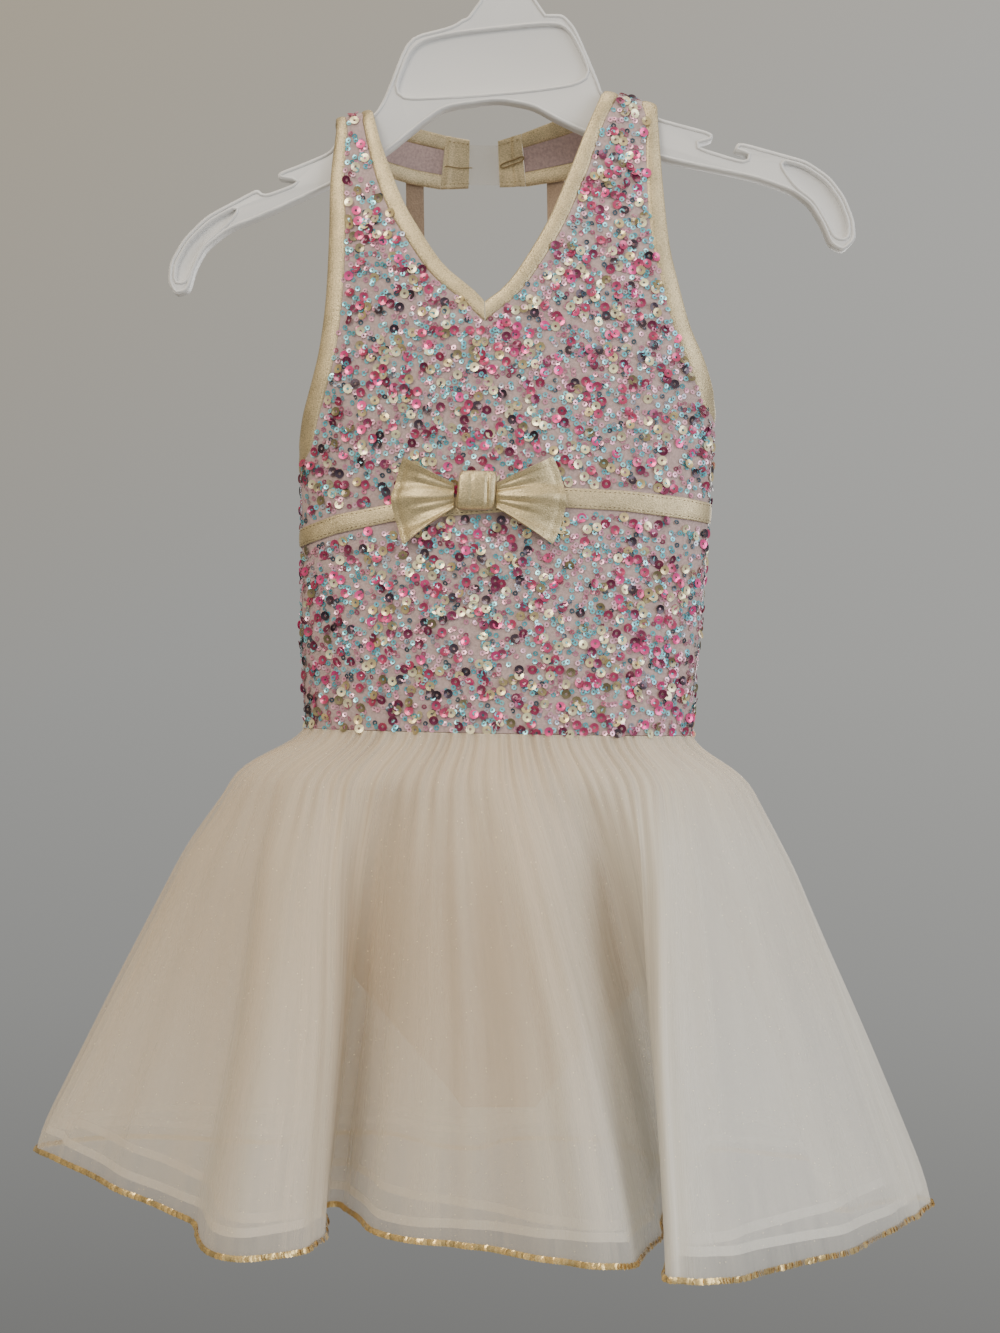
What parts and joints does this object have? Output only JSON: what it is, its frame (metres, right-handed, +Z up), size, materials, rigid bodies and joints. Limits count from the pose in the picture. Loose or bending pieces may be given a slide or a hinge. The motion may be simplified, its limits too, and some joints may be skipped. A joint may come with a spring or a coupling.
{
  "type": "ballet dress on a hanger",
  "caption": "Child's halter-neck ballet dress with sequinned bodice, gold band and bow, and gathered tulle skirt, hanging on a plastic hanger.",
  "frame": {"origin": "the seat of the hanger's hook: the inside top of its round, where a rail carries it", "axes": "+X to the wearer's left, on the right seen from the front; -Y is the front of the dress; +Z up"},
  "size_m": [0.4699, 0.2894, 0.6852],
  "materials": {
    "sequinned_net": "stretch net set with loose sequins",
    "gold_lame": "soft metallic sheen",
    "tulle_champagne": "sheer net with fine glitter",
    "tulle_white": "sheer matte net",
    "nude_cloth": "matte stretch knit",
    "gold_trim": "metallic sequin edging",
    "clear_elastic": "translucent, slightly glossy",
    "hanger_plastic": "moulded, satin gloss"
  },
  "bodies": {
    "root": {"bodice_front": "sequinned_net", "bodice_back": "sequinned_net", "neck_binding_left": "gold_lame", "neck_binding_right": "gold_lame", "armhole_binding_left": "gold_lame", "armhole_binding_right": "gold_lame", "back_binding": "gold_lame", "collar_left": "sequinned_net", "collar_right": "sequinned_net", "collar_tab_left": "gold_lame", "collar_tab_right": "gold_lame", "closure_strip": "clear_elastic", "back_strap_left": "nude_cloth", "back_strap_right": "nude_cloth", "empire_band": "gold_lame", "bow_knot": "gold_lame", "bow_wing_left": "gold_lame", "bow_wing_right": "gold_lame", "brief_front": "nude_cloth", "brief_back": "nude_cloth", "tulle_outer_front": "tulle_champagne", "tulle_outer_back": "tulle_champagne", "tulle_middle_front": "tulle_white", "tulle_middle_back": "tulle_white", "tulle_inner_front": "tulle_white", "tulle_inner_back": "tulle_white", "hem_trim_front": "gold_trim", "hem_trim_back": "gold_trim", "hanger": "hanger_plastic"}
  },
  "joints": []
}
